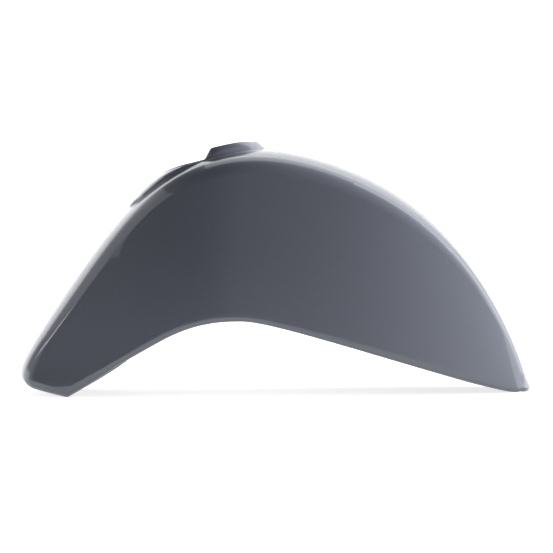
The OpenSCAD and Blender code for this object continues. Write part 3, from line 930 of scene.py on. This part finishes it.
# %% [markdown]
# ## The studio
# A gloss body is lit by what it mirrors, so the room round it is built first. The guard stands on a
# white table in front of white paper, and a low white wall stands far off beyond the tail. White
# panels hang overhead and beyond both ends. The overhead panel's front edge makes the crisp line
# along the shoulder. The room on the camera's side is dim at the tail and gets lighter towards the
# nose, and the flank shows that as a soft gradient. Paper and table glow only for the camera and
# for mirrored rays, so they look white and add no light.


# %% Floor and backdrop
def white_material(name, colour, glow):
    """Pale matt paper that looks white to the camera and in reflections, and keeps shadows."""
    material, tree, shader = new_material(name)
    shader.inputs["Base Color"].default_value = (*colour, 1)
    shader.inputs["Roughness"].default_value = 0.9
    shader.inputs["Emission Color"].default_value = (1, 1, 1, 1)
    path = tree.nodes.new("ShaderNodeLightPath")
    seen = path.outputs["Is Camera Ray"]
    for ray in ("Is Glossy Ray", "Is Transmission Ray"):
        add = tree.nodes.new("ShaderNodeMath")
        add.operation = "ADD"
        add.use_clamp = True
        tree.links.new(seen, add.inputs[0])
        tree.links.new(path.outputs[ray], add.inputs[1])
        seen = add.outputs["Value"]
    scale = tree.nodes.new("ShaderNodeMath")
    scale.operation = "MULTIPLY"
    scale.inputs[1].default_value = glow
    tree.links.new(seen, scale.inputs[0])
    tree.links.new(scale.outputs["Value"], shader.inputs["Emission Strength"])
    return material


def plane(name, corners, material):
    sheet = bpy.data.meshes.new(name)
    sheet.from_pydata(corners, [], [(0, 1, 2, 3)])
    sheet.materials.append(material)
    made = bpy.data.objects.new(name, sheet)
    bpy.context.scene.collection.objects.link(made)


wide, behind, ahead, tall, low_wall = 9.0, 4.0, -2.4, 5.0, 2.0
floor_white = white_material("white_table", (0.7, 0.7, 0.7), 0.78)
plane(
    "floor",
    [(-wide, ahead, 0), (wide, ahead, 0), (wide, behind, 0), (-wide, behind, 0)],
    floor_white,
)
paper_white = white_material("white_paper", (0.82, 0.82, 0.82), 1.0)
plane(
    "backdrop",
    [(-wide, behind, 0), (wide, behind, 0), (wide, behind, tall), (-wide, behind, tall)],
    paper_white,
)
plane(
    "side_wall",
    [(-wide, ahead, 0), (-wide, behind, 0), (-wide, behind, low_wall), (-wide, ahead, low_wall)],
    paper_white,
)
print("table from y", ahead, "to", behind, "m, paper", tall, "m tall")

# %% The room: dim at the tail's side, lighter towards the nose
world_setting = bpy.data.worlds.new("studio")
world_setting.use_nodes = True
bpy.context.scene.world = world_setting
world_tree = world_setting.node_tree
room = world_tree.nodes["Background"]
room.inputs["Color"].default_value = (0.95, 0.98, 1.07, 1)
toward = world_tree.nodes.new("ShaderNodeTexCoord")
split = world_tree.nodes.new("ShaderNodeSeparateXYZ")
gradient = world_tree.nodes.new("ShaderNodeMapRange")
for name, value in (("From Min", -0.16), ("From Max", 1.0), ("To Min", 0.04), ("To Max", 2.1)):
    gradient.inputs[name].default_value = value
world_tree.links.new(toward.outputs["Generated"], split.inputs["Vector"])
world_tree.links.new(split.outputs["X"], gradient.inputs["Value"])
world_tree.links.new(gradient.outputs["Result"], room.inputs["Strength"])
print("room made of", len(world_tree.nodes), "nodes")


# %% Lights
def softbox(name, place, aim, size, power):
    lamp = bpy.data.lights.new(name, "AREA")
    lamp.shape = "RECTANGLE"
    lamp.size, lamp.size_y = size
    lamp.energy = power
    made = bpy.data.objects.new(name, lamp)
    bpy.context.scene.collection.objects.link(made)
    made.location = place
    direction = Vector(aim) - Vector(place)
    made.rotation_euler = direction.to_track_quat("-Z", "Y").to_euler()


# The overhead panel's front edge hangs over the guard, and the strip widens it towards the nose.
softbox("overhead_box", (1.5, 1.2, 2.8), (1.5, 1.2, 0), (5.0, 2.5), 55)
softbox("shoulder_strip", (2.8, -0.05, 2.75), (2.8, -0.05, 0), (3.0, 0.7), 12)
# Beyond the nose, one panel for its crest and one for the bright band down its front.
softbox("nose_box", (4.0, 1.0, 1.6), (0, 1.0, 1.6), (2.6, 2.4), 36)
softbox("nose_panel", (2.15, -0.62, 0.35), (0.25, 0, 0.1), (0.8, 0.7), 3.4)
# Beyond the tail, two dim panels for the rear shoulder and a small bright one like a window.
softbox("tail_box", (-2.0, -1.0, 1.7), (0, -1.0, 1.7), (5.0, 1.8), 22)
softbox("tail_low_box", (-2.0, -0.3, 0.4), (0, -0.3, 0.4), (2.2, 0.8), 2)
softbox("tail_window", (-1.9, -0.75, 0.62), (-0.25, 0, 0.1), (0.75, 0.12), 1.2)
total_power = sum(lamp.energy for lamp in bpy.data.lights)
print(len(bpy.data.lights), "panels give", round(total_power, 1), "W together")

# %% [markdown]
# ## The camera
# The outline gives the camera: no part of the far rim shows, so it looks straight across, and
# the nose stands a touch higher than the tail in the picture, so it rolls by half a degree.

# %% Camera
picture_width = 553
mm_per_pixel, distance = 1.12, 1600
view_roll = math.radians(0.464)
aim_x, aim_z = 1.39, 128.65
camera_data = bpy.data.cameras.new("camera")
camera_data.sensor_width = 36
camera_data.lens = 36 * distance / (picture_width * mm_per_pixel)
camera = bpy.data.objects.new("camera", camera_data)
bpy.context.scene.collection.objects.link(camera)
turned = Matrix.Rotation(view_roll, 4, "Y") @ Matrix.Rotation(math.pi / 2, 4, "X")
camera.matrix_world = Matrix.Translation((aim_x * MM, -distance * MM, aim_z * MM)) @ turned
bpy.context.scene.camera = camera
bpy.context.scene.view_settings.view_transform = "Standard"
print("lens", round(camera_data.lens, 1), "mm at", distance, "mm")
